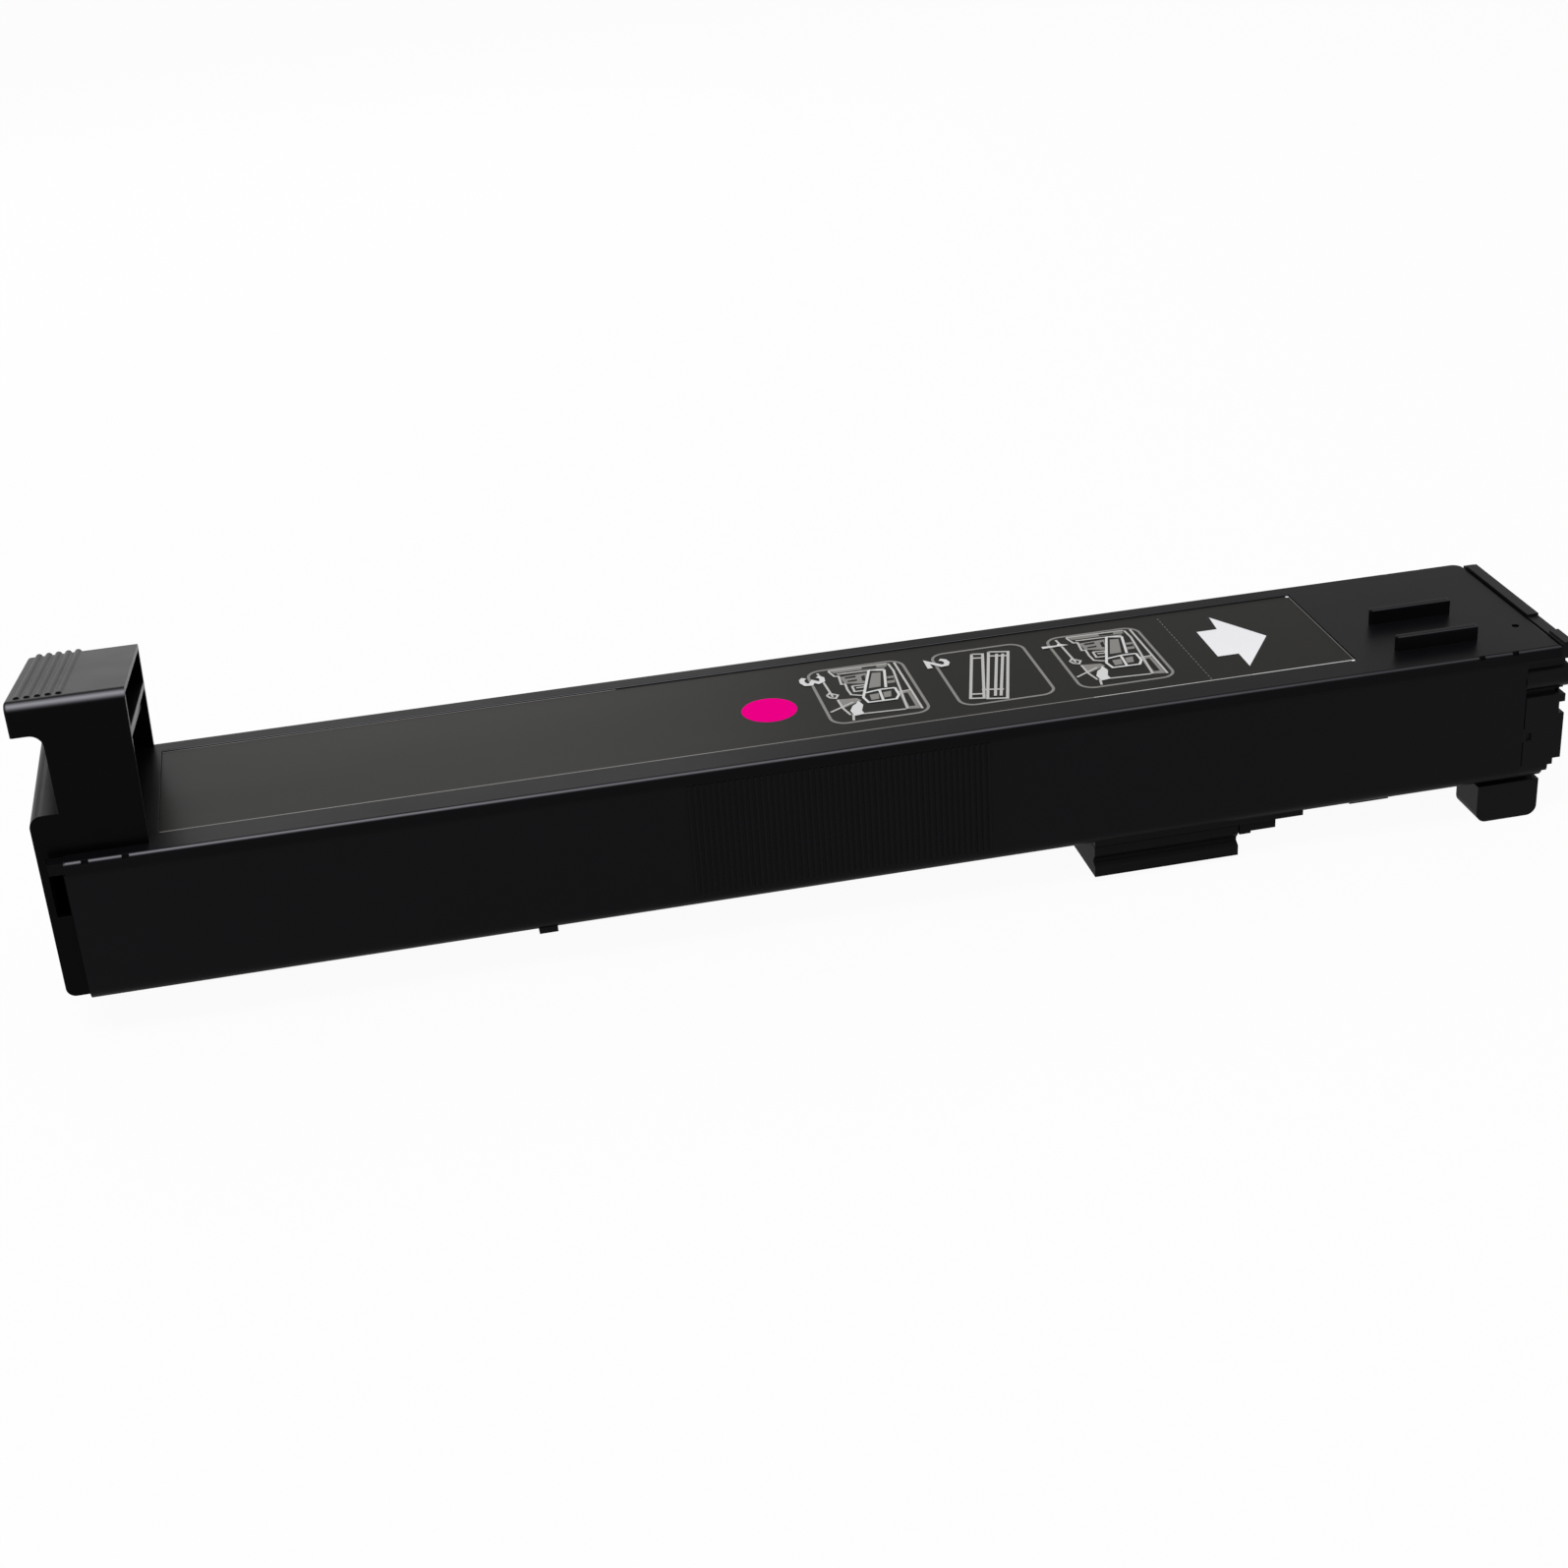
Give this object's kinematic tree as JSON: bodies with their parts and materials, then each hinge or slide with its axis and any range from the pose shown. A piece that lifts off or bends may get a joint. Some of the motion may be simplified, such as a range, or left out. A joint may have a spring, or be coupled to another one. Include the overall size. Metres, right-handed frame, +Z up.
{
  "type": "toner cartridge",
  "caption": "Long black toner cartridge with a hooked grip at one end, a labelled top, a drive coupling and a sliding shutter under the discharge opening.",
  "frame": {"origin": "centre of the outline at the height of the feet", "axes": "+X along the length, away from the handle; +Y across, away from the discharge side; +Z up"},
  "size_m": [0.5, 0.0788, 0.1149],
  "materials": {
    "hopper_plastic": "fine matt grain",
    "cover_plastic": "satin",
    "cap_plastic": "satin",
    "inner_plastic": "matt",
    "white_plastic": "natural acetal",
    "label_film": "satin laminated film",
    "clear_film": "clear film",
    "foam": "fine foam",
    "seal_rubber": "matt",
    "board_green": "lacquered board",
    "gold_contacts": "gold plating",
    "screw_steel": "zinc plated"
  },
  "bodies": {
    "casing": {"hopper": "hopper_plastic", "top_cover": "cover_plastic", "label": "label_film", "front_cap": "cap_plastic", "rear_cap": "cap_plastic", "rear_feet": "cap_plastic", "shutter_track": "inner_plastic", "agitator_bushes": "white_plastic", "auger_bushes": "white_plastic", "shaft_seals": "seal_rubber", "fill_plug": "inner_plastic", "chip_holder": "inner_plastic", "chip_board": "board_green", "chip_contacts": "gold_contacts", "screws": "screw_steel"},
    "agitator": {"agitator_shaft": "white_plastic", "agitator_film": "clear_film", "film_clamp": "white_plastic", "agitator_gear": "white_plastic", "drive_coupling": "white_plastic"},
    "idler": {"idler_gear": "white_plastic"},
    "auger_unit": {"auger": "white_plastic", "auger_gear": "white_plastic"},
    "shutter_unit": {"shutter": "inner_plastic", "shutter_seal": "foam"}
  },
  "joints": [
    {"name": "agitator_spin", "type": "hinge", "parent": "casing", "child": "agitator", "pos_m": [0.23, 0.0126, 0.03749], "axis": [1, 0, 0], "continuous": true},
    {"name": "idler_spin", "type": "hinge", "parent": "casing", "child": "idler", "pos_m": [0.238, -0.01114, 0.03403], "axis": [1, 0, 0], "continuous": true},
    {"name": "auger_spin", "type": "hinge", "parent": "casing", "child": "auger_unit", "pos_m": [0.23, -0.0214, 0.0245], "axis": [1, 0, 0], "continuous": true},
    {"name": "shutter_slide", "type": "slide", "parent": "casing", "child": "shutter_unit", "axis": [-1, 0, 0], "range_m": [0, 0.035]}
  ],
  "couplings": [
    {"joint": "idler_spin", "follows": "agitator_spin", "ratio": -2.4286},
    {"joint": "auger_spin", "follows": "agitator_spin", "ratio": 2.4286}
  ]
}
